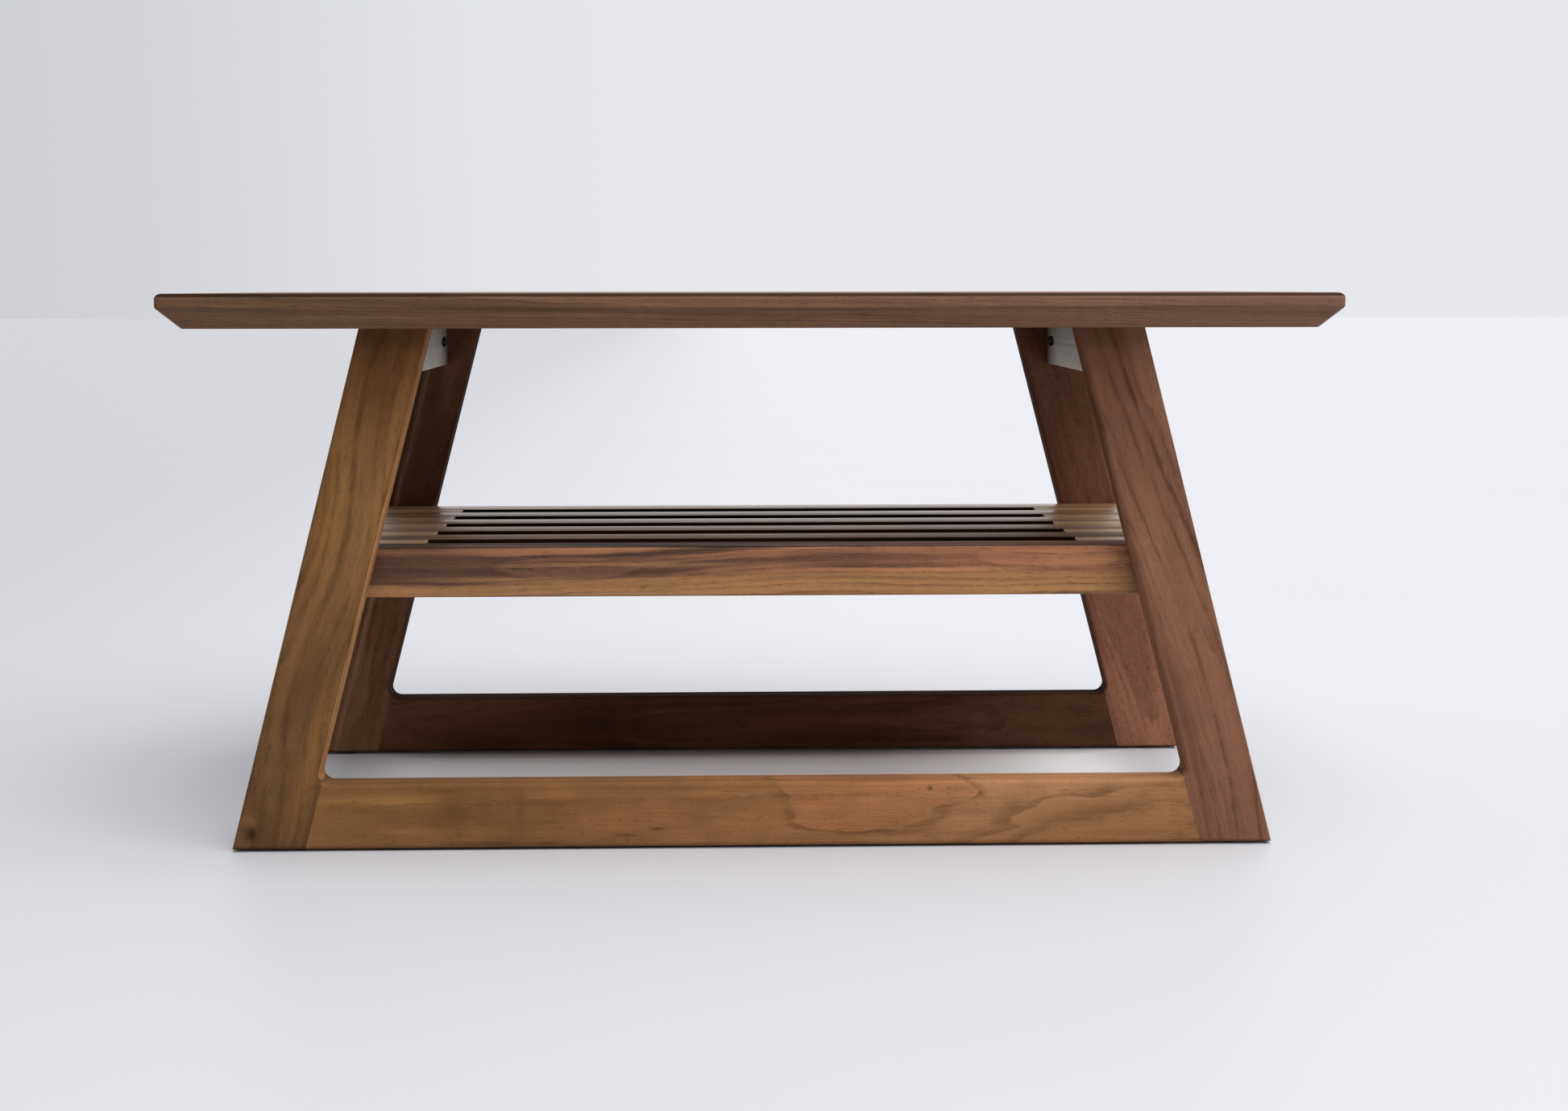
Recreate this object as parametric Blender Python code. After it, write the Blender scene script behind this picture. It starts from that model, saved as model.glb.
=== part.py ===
"""Rectangular low table: bevelled slab top, two raked trapezoid frames, slatted shelf between them.

Metres, +Z up, front faces -Y, origin on the floor under the middle of the top.
"""

import math

import bmesh
import bpy
from mathutils import Vector

# Whole table
TABLE_LENGTH = 0.914
TABLE_DEPTH = 0.457
TABLE_HEIGHT = 0.445
GAP = 0.0003  # left between two pieces that touch

# Top slab
TOP_THICKNESS = 0.027
TOP_BEVEL = 0.016  # 45 degree bevel under the rim, all the way round
TOP_ROUND = 0.0045  # round-over of the upper arris
TOP_CORNER_RADIUS = 0.005

# Frames: two legs and a bottom rail, all from the same stock
STOCK_THICKNESS = 0.027
STOCK_WIDTH = 0.053
RAKE = math.radians(15.0)
FRAME_TOP_WIDTH = 0.6165  # across the outer edges, at the underside of the top
FRAME_SPACING = 0.361  # front face of one frame to front face of the other
FRAME_ROUND = 0.0035  # round-over of the frame's arrises
FILLET_RADIUS = 0.0085  # inside corner between leg and bottom rail
JOINT_SETBACK = 0.004  # glue line, inboard of the leg's inner edge
PAD_RADIUS = 0.0095
PAD_THICKNESS = 0.002

# Shelf
SHELF_TOP = 0.242
SHELF_THICKNESS = 0.040
SLAT_COUNT = 6
SLAT_GAP = 0.0254
SLOT_HALF_LENGTH = 0.269
SHELF_END_SETBACK = 0.001  # slat ends stop this far inside the leg's outer edge
SLAT_ROUND = 0.0015

# Cross rails under the top
CROSS_THICKNESS = 0.019
CROSS_HEIGHT = 0.041
CROSS_INNER_X = 0.2855
CROSS_ROUND = 0.001

# Hardware
POCKET_RADIUS = 0.00475
POCKET_ANGLE = math.radians(15.0)
POCKET_EXIT_DEPTH = 0.006  # screw line below the rail's inner face, at the rail's end
POCKET_SEAT = 0.010  # screw head seat to the rail's end, along the screw
POCKET_BELOW_TOP = 0.019
POCKET_BORE = 0.050  # wide bore before the seat, long enough to leave the rail's inner face
POCKET_CLEARANCE = 0.016  # narrow hole after the seat, out through the rail's end
PILOT_START = 0.007  # seat to the start of the leg's pilot hole, just before the leg's face
SCREW_RADIUS = 0.002
SCREW_HOLE_RADIUS = 0.0023
SCREW_HEAD_RADIUS = 0.0042
SCREW_HEAD_HEIGHT = 0.0024
SCREW_CAP_RADIUS = 0.0028
SCREW_WASHER = 0.0009
SCREW_DRIVE_RADIUS = 0.0012
SCREW_DRIVE_FLOOR = 0.0006  # bottom of the drive recess, above the seat
SCREW_POINT = 0.005
SCREW_TIP_RADIUS = 0.0004
PILOT_SPARE = 0.002  # pilot hole past the screw's tip
POCKET_SCREW_LENGTH = 0.029
TOP_SCREW_SPACING = 0.105
TOP_SCREW_COUNTERBORE = 0.012
TOP_SCREW_LENGTH = 0.044
DOWEL_RADIUS = 0.004
DOWEL_LENGTH = 0.030
DOWEL_SPACING = 0.022
DOWEL_CHAMFER = 0.0008
END_SPARE = 0.001  # empty space past each end of a dowel or tenon
TENON_LENGTH = 0.038
TENON_HEIGHT = 0.028
TENON_THICKNESS = 0.008
TENON_ROUND = 0.0039

ARC_STEPS = 6
ROUND_STEPS = 2
TOP_ROUND_STEPS = 3
ROUND_SIDES = 24
OVERRUN = 0.002  # cutters run this far past the faces that they open
SIDES = ((-1, "left"), (1, "right"))

UNDERSIDE = TABLE_HEIGHT - TOP_THICKNESS
LEG_WIDTH = STOCK_WIDTH / math.cos(RAKE)  # measured level
FRAME_TOP = UNDERSIDE - GAP
RAIL_TOP = PAD_THICKNESS + STOCK_WIDTH
SHELF_DEPTH = FRAME_SPACING - STOCK_THICKNESS
SLAT_WIDTH = (SHELF_DEPTH - (SLAT_COUNT - 1) * SLAT_GAP) / SLAT_COUNT


def material(name, colour, roughness, metallic=0.0):
    mat = bpy.data.materials.get(name)
    if mat is None:
        mat = bpy.data.materials.new(name)
        mat.use_nodes = True
        shader = mat.node_tree.nodes["Principled BSDF"]
        shader.inputs["Base Color"].default_value = (*colour, 1.0)
        shader.inputs["Roughness"].default_value = roughness
        shader.inputs["Metallic"].default_value = metallic
    return mat


def top_walnut():
    return material("top_walnut", (0.155, 0.078, 0.042), 0.38)


def frame_walnut():
    return material("frame_walnut", (0.215, 0.108, 0.050), 0.42)


def shelf_walnut():
    return material("shelf_walnut", (0.200, 0.095, 0.048), 0.35)


def white_paint():
    return material("white_rail", (0.780, 0.765, 0.735), 0.55)


def steel():
    return material("screw_steel", (0.560, 0.550, 0.530), 0.35, 1.0)


def beech():
    return material("joint_beech", (0.610, 0.430, 0.260), 0.60)


def felt():
    return material("pad_felt", (0.045, 0.040, 0.036), 0.95)


def new_object(name, bm, mat=None):
    mesh = bpy.data.meshes.new(name)
    bmesh.ops.recalc_face_normals(bm, faces=bm.faces)
    bm.to_mesh(mesh)
    bm.free()
    obj = bpy.data.objects.new(name, mesh)
    bpy.context.scene.collection.objects.link(obj)
    if mat is None:
        obj.hide_render = True
        obj.display_type = "WIRE"
    else:
        mesh.materials.append(mat)
    return obj


def loft(name, rings, mat=None):
    """Closed solid through equal rings of points, capped at both ends."""
    bm = bmesh.new()
    layers = [[bm.verts.new(p) for p in ring] for ring in rings]
    count = len(layers[0])
    for low, high in zip(layers, layers[1:]):
        for i in range(count):
            j = (i + 1) % count
            bm.faces.new((low[i], low[j], high[j], high[i]))
    bm.faces.new(list(reversed(layers[0])))
    bm.faces.new(layers[-1])
    return new_object(name, bm, mat)


def cut(obj, *cutters):
    for cutter in cutters:
        mod = obj.modifiers.new("cut_" + cutter.name, "BOOLEAN")
        mod.operation = "DIFFERENCE"
        mod.solver = "EXACT"
        mod.object = cutter


def outer_half(z):
    """Half the frame's outer width at height z."""
    return FRAME_TOP_WIDTH / 2 + math.tan(RAKE) * (UNDERSIDE - z)


def inner_half(z):
    return outer_half(z) - LEG_WIDTH


def joint_half(z):
    return inner_half(z) - JOINT_SETBACK


def fillet_points():
    """Right-hand inside corner, from the tangent point on the rail up to the one on the leg."""
    centre_z = RAIL_TOP + FILLET_RADIUS
    centre_x = inner_half(centre_z) - FILLET_RADIUS / math.cos(RAKE)
    points = []
    for i in range(ARC_STEPS + 1):
        a = -math.pi / 2 + (RAKE + math.pi / 2) * i / ARC_STEPS
        points.append((centre_x + FILLET_RADIUS * math.cos(a), centre_z + FILLET_RADIUS * math.sin(a)))
    return points


def split_fillet():
    """The fillet's points each side of the glue line, with the crossing point in both lists."""
    points = fillet_points()
    for i, (a, b) in enumerate(zip(points, points[1:])):
        da = a[0] - joint_half(a[1])
        db = b[0] - joint_half(b[1])
        if da < 0.0 <= db:
            t = da / (da - db)
            cross = (a[0] + t * (b[0] - a[0]), a[1] + t * (b[1] - a[1]))
            return points[: i + 1] + [cross], [cross] + points[i + 1 :]
    raise ValueError("the glue line misses the fillet")


def inset_outline(points, sides, distance):
    """Moves each side of an anticlockwise outline inwards by distance, where its flag is set."""
    count = len(points)
    result = []
    for i in range(count):
        here = Vector(points[i])
        before = (here - Vector(points[i - 1])).normalized()
        after = (Vector(points[(i + 1) % count]) - here).normalized()
        d_before = distance * sides[i - 1]
        d_after = distance * sides[i]
        n_before = Vector((-before.y, before.x))
        n_after = Vector((-after.y, after.x))
        cross = before.x * after.y - before.y * after.x
        if abs(cross) < 1e-4:
            moved = here + n_before * d_before
        else:
            p = here + n_before * d_before
            q = here + n_after * d_after
            t = ((q.x - p.x) * after.y - (q.y - p.y) * after.x) / cross
            moved = p + before * t
        result.append((moved.x, moved.y))
    return result


def rounded_board(name, points, sides, y0, y1, mat):
    """Board with this outline in X and Z, its flagged edges rounded on both faces."""
    rings = []
    for i in range(ROUND_STEPS + 1):
        a = math.pi / 2 * i / ROUND_STEPS
        depth = FRAME_ROUND * (1 - math.cos(a))
        inset = FRAME_ROUND * (1 - math.sin(a))
        outline = inset_outline(points, sides, inset)
        rings.append((depth, outline))
    layers = [[(x, y0 + depth, z) for x, z in outline] for depth, outline in rings]
    layers += [[(x, y1 - depth, z) for x, z in outline] for depth, outline in reversed(rings)]
    return loft(name, layers, mat)


def mirrored(points, sides):
    """The same outline on the other side of the middle, still anticlockwise."""
    flipped = [(-x, z) for x, z in reversed(points)]
    turned = list(reversed(sides))
    return flipped, turned[1:] + turned[:1]


def leg(name, side, y0):
    _, arc = split_fillet()
    bottom = PAD_THICKNESS
    points = [(joint_half(bottom), bottom), (outer_half(bottom), bottom)]
    points += [(outer_half(FRAME_TOP), FRAME_TOP), (inner_half(FRAME_TOP), FRAME_TOP)]
    points += list(reversed(arc))
    sides = [1, 1, 0, 1] + [1] * (len(arc) - 1) + [0]
    if side < 0:
        points, sides = mirrored(points, sides)
    return rounded_board(name, points, sides, y0, y0 + STOCK_THICKNESS, frame_walnut())


def bottom_rail(name, y0):
    arc, _ = split_fillet()
    shift = GAP / math.cos(RAKE)
    bottom = PAD_THICKNESS
    end = joint_half(bottom) - shift
    tip_z = arc[-1][1] - shift / 2
    arc[-1] = (joint_half(tip_z) - shift, tip_z)
    right = list(reversed(arc))
    left = [(-x, z) for x, z in arc]
    points = [(-end, bottom), (end, bottom)] + right + left
    sides = [1, 0] + [1] * (2 * len(arc) - 1) + [0]
    return rounded_board(name, points, sides, y0, y0 + STOCK_THICKNESS, frame_walnut())


def lathe(name, profile, origin, direction, mat=None):
    """Solid of revolution. The profile is (distance along, radius), its first and last radius 0."""
    axis = Vector(direction).normalized()
    helper = Vector((0, 0, 1)) if abs(axis.z) < 0.9 else Vector((1, 0, 0))
    u = axis.cross(helper).normalized()
    v = axis.cross(u).normalized()
    start = Vector(origin)
    bm = bmesh.new()
    first = bm.verts.new(start + axis * profile[0][0])
    last = bm.verts.new(start + axis * profile[-1][0])
    rings = []
    for along, radius in profile[1:-1]:
        centre = start + axis * along
        ring = []
        for i in range(ROUND_SIDES):
            a = 2 * math.pi * i / ROUND_SIDES
            ring.append(bm.verts.new(centre + (u * math.cos(a) + v * math.sin(a)) * radius))
        rings.append(ring)
    for i in range(ROUND_SIDES):
        j = (i + 1) % ROUND_SIDES
        bm.faces.new((first, rings[0][j], rings[0][i]))
        bm.faces.new((last, rings[-1][i], rings[-1][j]))
        for low, high in zip(rings, rings[1:]):
            bm.faces.new((low[i], low[j], high[j], high[i]))
    return new_object(name, bm, mat)


def rod(name, radius, start, end, mat=None, chamfer=0.0):
    a, b = Vector(start), Vector(end)
    length = (b - a).length
    profile = [(0, 0), (0, radius - chamfer)]
    if chamfer:
        profile += [(chamfer, radius), (length - chamfer, radius)]
    profile += [(length, radius - chamfer), (length, 0)]
    return lathe(name, profile, a, b - a, mat)


def stepped_hole(start, direction, wide_length, total_length):
    """Cutter for a screw: the wide part for its head, then the clearance hole."""
    profile = [(0, 0), (0, POCKET_RADIUS), (wide_length, POCKET_RADIUS), (wide_length, SCREW_HOLE_RADIUS)]
    profile += [(total_length, SCREW_HOLE_RADIUS), (total_length, 0)]
    return lathe("stepped_hole", profile, start, direction)


def screw(name, seat, direction, length):
    """Washer-head screw whose head sits on the seat point, with a round drive recess."""
    profile = [(-SCREW_DRIVE_FLOOR, 0), (-SCREW_DRIVE_FLOOR, SCREW_DRIVE_RADIUS)]
    profile += [(-SCREW_HEAD_HEIGHT, SCREW_DRIVE_RADIUS), (-SCREW_HEAD_HEIGHT, SCREW_CAP_RADIUS)]
    profile += [(-SCREW_WASHER, SCREW_CAP_RADIUS), (-SCREW_WASHER, SCREW_HEAD_RADIUS)]
    profile += [(0, SCREW_HEAD_RADIUS), (0, SCREW_RADIUS), (length - SCREW_POINT, SCREW_RADIUS)]
    profile += [(length, SCREW_TIP_RADIUS), (length, 0)]
    return lathe(name, profile, seat, direction, steel())


def rounded_rectangle(half_a, half_b, radius, steps):
    """Outline round the middle, anticlockwise from its first side, with quarter-circle corners."""
    points = []
    for sa, sb, turn in ((1, 1, 0.0), (-1, 1, 0.5), (-1, -1, 1.0), (1, -1, 1.5)):
        centre = Vector((sa * (half_a - radius), sb * (half_b - radius)))
        for i in range(steps + 1):
            a = math.pi * (turn + 0.5 * i / steps)
            points.append(tuple(centre + Vector((math.cos(a), math.sin(a))) * radius))
    return points


def tabletop():
    half_x, half_y = TABLE_LENGTH / 2, TABLE_DEPTH / 2
    levels = [(UNDERSIDE, TOP_BEVEL), (UNDERSIDE + TOP_BEVEL, 0.0)]
    for i in range(TOP_ROUND_STEPS + 1):
        a = math.pi / 2 * i / TOP_ROUND_STEPS
        z = TABLE_HEIGHT - TOP_ROUND * (1 - math.sin(a))
        levels.append((z, TOP_ROUND * (1 - math.cos(a))))
    rings = []
    for z, inset in levels:
        plan = rounded_rectangle(half_x - inset, half_y - inset, TOP_CORNER_RADIUS, 5)
        rings.append([(x, y, z) for x, y in plan])
    slab = loft("tabletop", rings, top_walnut())
    for side in (-1, 1):
        for k in (-1, 0, 1):
            x, y = side * (CROSS_INNER_X + CROSS_THICKNESS / 2), k * TOP_SCREW_SPACING
            end = top_screw_seat() + TOP_SCREW_LENGTH + PILOT_SPARE
            cut(slab, rod("pilot", SCREW_HOLE_RADIUS, (x, y, UNDERSIDE - OVERRUN), (x, y, end)))
    return slab


def shelf_end(z):
    return outer_half(z) - SHELF_END_SETBACK


def shelf_bar(name, y0, y1, inner):
    """Shelf strip from y0 to y1. With inner None it runs end to end; else it is one end block."""
    half_y, half_z = (y1 - y0) / 2, SHELF_THICKNESS / 2
    centre_y, centre_z = (y0 + y1) / 2, SHELF_TOP - half_z
    section = rounded_rectangle(half_y, half_z, SLAT_ROUND, 2)
    section = [(y + centre_y, z + centre_z) for y, z in section]
    if inner is None:
        ends = [[(-shelf_end(z), y, z) for y, z in section], [(shelf_end(z), y, z) for y, z in section]]
    else:
        side = 1 if inner > 0 else -1
        ends = [[(inner, y, z) for y, z in section], [(side * shelf_end(z), y, z) for y, z in section]]
    return loft(name, ends, shelf_walnut())


def slat_front(i):
    return -SHELF_DEPTH / 2 + i * (SLAT_WIDTH + SLAT_GAP)


def shelf():
    slats = []
    for i in range(SLAT_COUNT):
        y0 = slat_front(i)
        y1 = y0 + SLAT_WIDTH
        y0 += GAP if i == 0 else 0.0
        y1 -= GAP if i == SLAT_COUNT - 1 else 0.0
        slats.append(shelf_bar(f"shelf_slat_{i + 1}", y0, y1, None))
    for i in range(SLAT_COUNT - 1):
        y0 = slat_front(i) + SLAT_WIDTH + GAP
        y1 = slat_front(i + 1) - GAP
        shelf_bar(f"shelf_spacer_left_{i + 1}", y0, y1, -SLOT_HALF_LENGTH)
        shelf_bar(f"shelf_spacer_right_{i + 1}", y0, y1, SLOT_HALF_LENGTH)
    return slats


def top_screw_seat():
    return UNDERSIDE - CROSS_HEIGHT + TOP_SCREW_COUNTERBORE


def cross_rail(name, side):
    x0, x1 = sorted((side * CROSS_INNER_X, side * (CROSS_INNER_X + CROSS_THICKNESS)))
    z0, z1 = UNDERSIDE - CROSS_HEIGHT, UNDERSIDE - GAP
    section = rounded_rectangle((x1 - x0) / 2, (z1 - z0) / 2, CROSS_ROUND, 2)
    section = [(x + (x0 + x1) / 2, z + (z0 + z1) / 2) for x, z in section]
    half = SHELF_DEPTH / 2 - GAP
    rail = loft(name, [[(x, y, z) for x, z in section] for y in (-half, half)], white_paint())
    for k in (-1, 0, 1):
        x, y, seat = (x0 + x1) / 2, k * TOP_SCREW_SPACING, top_screw_seat()
        start = z0 - OVERRUN
        cut(rail, stepped_hole((x, y, start), (0, 0, 1), seat - start, z1 + OVERRUN - start))
        hand = "left" if side < 0 else "right"
        screw(f"top_screw_{hand}_{k + 2}", (x, y, seat - GAP), (0, 0, 1), TOP_SCREW_LENGTH)
    return rail


def pocket(rail, leg_object, side, end, name):
    """Angled screw pocket from the rail's inner face into one leg."""
    direction = Vector((side * math.sin(POCKET_ANGLE), end * math.cos(POCKET_ANGLE), 0))
    exit_x = side * (CROSS_INNER_X + POCKET_EXIT_DEPTH)
    seat = Vector((exit_x, end * SHELF_DEPTH / 2, UNDERSIDE - POCKET_BELOW_TOP)) - direction * POCKET_SEAT
    hole_start = seat - direction * POCKET_BORE
    pilot_end = seat + direction * (POCKET_SCREW_LENGTH + PILOT_SPARE)
    cut(rail, stepped_hole(hole_start, direction, POCKET_BORE, POCKET_BORE + POCKET_CLEARANCE))
    cut(leg_object, rod("leg_pilot", SCREW_HOLE_RADIUS, seat + direction * PILOT_START, pilot_end))
    screw(name, seat - direction * GAP, direction, POCKET_SCREW_LENGTH)


def dowels(leg_object, slat, side, end, name):
    """Two dowels from a leg into the end slat."""
    z = SHELF_TOP - SHELF_THICKNESS / 2
    middle = (inner_half(z) + shelf_end(z)) / 2
    face = end * SHELF_DEPTH / 2
    for k in (0, 1):
        x = side * (middle + (k - 0.5) * DOWEL_SPACING)
        y0, y1 = face - DOWEL_LENGTH / 2, face + DOWEL_LENGTH / 2
        rod(f"{name}_{k + 1}", DOWEL_RADIUS, (x, y0, z), (x, y1, z), beech(), DOWEL_CHAMFER)
        hole = rod("dowel_hole", DOWEL_RADIUS + GAP, (x, y0 - END_SPARE, z), (x, y1 + END_SPARE, z))
        cut(leg_object, hole)
        cut(slat, hole)


def tenon(leg_object, rail, side, y_middle, name):
    """Loose tenon across the glue line of leg and bottom rail."""
    z = PAD_THICKNESS + STOCK_WIDTH / 2
    x = side * (joint_half(z) - GAP / 2)

    def block(label, spare, end_spare, mat=None):
        half_y, half_z = TENON_THICKNESS / 2 + spare, TENON_HEIGHT / 2 + spare
        section = rounded_rectangle(half_y, half_z, TENON_ROUND + spare, 4)
        reach = TENON_LENGTH / 2 + end_spare
        ends = [[(x + s * reach, y_middle + a, z + b) for a, b in section] for s in (-1, 1)]
        return loft(label, ends, mat)

    block(name, 0, 0, beech())
    mortise = block("mortise", GAP, END_SPARE)
    cut(leg_object, mortise)
    cut(rail, mortise)


def foot_pad(name, side, y_middle):
    x = side * (outer_half(0) + joint_half(0) + JOINT_SETBACK) / 2
    rod(name, PAD_RADIUS, (x, y_middle, 0), (x, y_middle, PAD_THICKNESS - GAP), felt())


def table():
    tabletop()
    slats = shelf()
    cross = {side: cross_rail(f"{hand}_top_rail", side) for side, hand in SIDES}
    for end, place, slat in ((-1, "front", slats[0]), (1, "back", slats[-1])):
        middle = end * FRAME_SPACING / 2
        y0 = middle - STOCK_THICKNESS / 2
        rail = bottom_rail(f"{place}_bottom_rail", y0)
        for side, hand in SIDES:
            post = leg(f"{place}_{hand}_leg", side, y0)
            pocket(cross[side], post, side, end, f"pocket_screw_{place}_{hand}")
            dowels(post, slat, side, end, f"shelf_dowel_{place}_{hand}")
            tenon(post, rail, side, middle, f"rail_tenon_{place}_{hand}")
            foot_pad(f"foot_pad_{place}_{hand}", side, middle)


for old in list(bpy.data.objects):
    bpy.data.objects.remove(old, do_unlink=True)
table()
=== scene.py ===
import math

import bmesh
import bpy
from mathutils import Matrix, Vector


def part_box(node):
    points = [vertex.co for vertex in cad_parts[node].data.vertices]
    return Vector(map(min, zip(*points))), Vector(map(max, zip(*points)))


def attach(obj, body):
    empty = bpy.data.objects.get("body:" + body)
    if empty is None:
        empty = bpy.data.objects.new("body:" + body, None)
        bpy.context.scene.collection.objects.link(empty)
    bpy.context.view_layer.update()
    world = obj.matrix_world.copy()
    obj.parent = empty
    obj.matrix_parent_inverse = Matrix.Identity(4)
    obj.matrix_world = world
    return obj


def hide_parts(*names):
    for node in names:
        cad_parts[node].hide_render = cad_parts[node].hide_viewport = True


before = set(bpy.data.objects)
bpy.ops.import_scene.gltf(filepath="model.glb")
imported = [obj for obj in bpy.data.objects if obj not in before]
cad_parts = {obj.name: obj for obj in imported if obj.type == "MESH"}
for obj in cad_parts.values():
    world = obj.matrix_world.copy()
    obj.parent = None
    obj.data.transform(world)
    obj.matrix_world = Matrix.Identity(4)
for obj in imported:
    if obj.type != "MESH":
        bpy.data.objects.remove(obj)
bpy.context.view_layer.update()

# Shape facts that a node's box doesn't give, in metres and radians
RAKE = math.radians(15.0)
FILLET_RADIUS = 0.0085
JOINT_SETBACK = 0.004  # from the leg's inner edge in to the glue line
FRAME_ROUND = 0.0035
FRAME_STEPS = 5
ARC_STEPS = 10
SUPPORT = 0.0006  # flat loop beside a round-over, which keeps its shading off the flat faces
GLUE_GAP = 0.00006
TOP_ROUND = 0.0045
TOP_BEVEL = 0.016
TOP_CORNER = 0.005
TOP_BOARD = 0.0914  # width of each of the five boards that the top is glued from
SLAT_ROUND = 0.0016
SLAT_PITCH = 0.0599
SLOT_HALF = 0.0127
EASED = 0.0009
POCKET_RADIUS = 0.00475
POCKET_ANGLE = math.radians(15.0)
POCKET_SEAT = 0.01
POCKET_EXIT_DEPTH = 0.006
POCKET_BELOW_TOP = 0.019
POCKET_SCREW_LENGTH = 0.029
HEAD_GAP = 0.0003  # between a pocket screw's head and its seat
COUNTERBORE_REACH = (0.02, 0.04)  # how far a hole's cutter runs before and after the seat
POCKET_REACH = (0.06, 0.016)
COUNTERBORE_DEPTH = 0.012
SCREW_HOLE_RADIUS = 0.0023
HOLE_ROUNDING = 0.0006
HOLE_SIDES = 40
SCREW_CORE = 0.00155
SCREW_CREST = 0.002
THREAD_PITCH = 0.0022
THREAD_STEPS = 7  # rings to each turn of the thread
SCREW_SIDES = 28
HEAD_RADIUS = 0.0042
HEAD_HEIGHT = 0.0024
PAD_SIDES = 48
SIDES = (("left", -1), ("right", 1))
PLACES = ("front", "back")

# Brightness of the slats' tops against their plain walnut
SLAT_FRONT_TONE = 0.6
SLAT_BACK_TONE = 1.2
NEAR_SLAT_TONE = 0.5
FAR_SLAT_TONE = 1.75

# Camera at the photograph's viewing angle: metres and radians, and millimetres for the lens
CAMERA_X = -0.0237
CAMERA_DISTANCE = 1.6737  # in front of the front legs
CAMERA_HEIGHT = 0.4491
CAMERA_TILT = -0.1253
CAMERA_ROLL = 0.0011
CAMERA_TURN = -0.0283
CAMERA_LENS = 48.85
SENSOR_WIDTH = 36.0

FLOOR_HALF_SIZE = 30.0


# -------------------- mesh tools

def added(name, data):
    """New object in the scene."""
    obj = bpy.data.objects.new(name, data)
    bpy.context.scene.collection.objects.link(obj)
    return obj


def finished(name, bm, material, replaced, sharp=38.0):
    """Object from a bmesh: smooth shaded, riding on the table, standing for its CAD nodes."""
    mesh = bpy.data.meshes.new(name)
    bmesh.ops.recalc_face_normals(bm, faces=bm.faces)
    bm.to_mesh(mesh)
    bm.free()
    mesh.shade_smooth()
    mesh.set_sharp_from_angle(angle=math.radians(sharp))
    obj = added(name, mesh)
    mesh.materials.append(material)
    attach(obj, "root")
    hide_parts(*replaced)
    return obj


def loft(rings):
    """Closed bmesh through equal rings of points, capped at both ends."""
    bm = bmesh.new()
    layers = [[bm.verts.new(p) for p in ring] for ring in rings]
    count = len(layers[0])
    for low, high in zip(layers, layers[1:]):
        for i in range(count):
            j = (i + 1) % count
            bm.faces.new((low[i], low[j], high[j], high[i]))
    bm.faces.new(list(reversed(layers[0])))
    bm.faces.new(layers[-1])
    return bm


def inset_outline(points, sides, distance):
    """Moves each flagged side of an anticlockwise outline inwards."""
    count = len(points)
    result = []
    for i in range(count):
        here = Vector(points[i])
        before = (here - Vector(points[i - 1])).normalized()
        after = (Vector(points[(i + 1) % count]) - here).normalized()
        p = here + Vector((-before.y, before.x)) * distance * sides[i - 1]
        q = here + Vector((-after.y, after.x)) * distance * sides[i]
        cross = before.x * after.y - before.y * after.x
        if abs(cross) > 1e-4:
            p = p + before * (((q.x - p.x) * after.y - (q.y - p.y) * after.x) / cross)
        result.append((p.x, p.y))
    return result


def round_profile(radius, steps):
    """(depth, inset) pairs over a round-over, with a flat support loop at each end."""
    pairs = [(0.0, radius + SUPPORT)]
    for i in range(steps + 1):
        a = math.pi / 2 * i / steps
        pairs.append((radius * (1 - math.cos(a)), radius * (1 - math.sin(a))))
    return pairs + [(radius + SUPPORT, 0.0)]


def board_rings(points, sides, y0, y1):
    """Rings through a board's thickness, round-overs included. Its outline is given in X and Z."""
    profile = []
    for depth, inset in round_profile(FRAME_ROUND, FRAME_STEPS):
        profile.append((depth, inset_outline(points, sides, inset)))
    rings = [[(x, y0 + depth, z) for x, z in outline] for depth, outline in profile]
    return rings + [[(x, y1 - depth, z) for x, z in outline] for depth, outline in reversed(profile)]


def rounded_rectangle(half_a, half_b, radius, steps):
    """Rectangle with round corners, and a support point on the flat at each end of each arc."""
    points = []
    for sa, sb, turn in ((1, 1, 0.0), (-1, 1, 0.5), (-1, -1, 1.0), (1, -1, 1.5)):
        centre = Vector((sa * (half_a - radius), sb * (half_b - radius)))
        arc = []
        for i in range(steps + 1):
            a = math.pi * (turn + 0.5 * i / steps)
            arc.append(centre + Vector((math.cos(a), math.sin(a))) * radius)
        start, end = math.pi * turn, math.pi * (turn + 0.5)
        before = arc[0] + Vector((math.sin(start), -math.cos(start))) * SUPPORT
        after = arc[-1] + Vector((-math.sin(end), math.cos(end))) * SUPPORT
        points += [before, *arc, after]
    return [(p.x, p.y) for p in points]


def axis_frame(direction):
    """Unit vectors along a direction and across it, twice."""
    axis = Vector(direction).normalized()
    helper = Vector((0, 0, 1)) if abs(axis.z) < 0.9 else Vector((1, 0, 0))
    u = axis.cross(helper).normalized()
    return axis, u, axis.cross(u).normalized()


def plain(radius):
    """Radius of a round ring, whatever the angle."""
    return lambda angle: radius


def turned_ring(start, direction, along, radius_at, sides):
    """Points round an axis, some way along it. Their distance from it may depend on the angle."""
    axis, u, v = axis_frame(direction)
    points = []
    for i in range(sides):
        a = 2 * math.pi * i / sides
        points.append(start + axis * along + (u * math.cos(a) + v * math.sin(a)) * radius_at(a))
    return points


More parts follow.
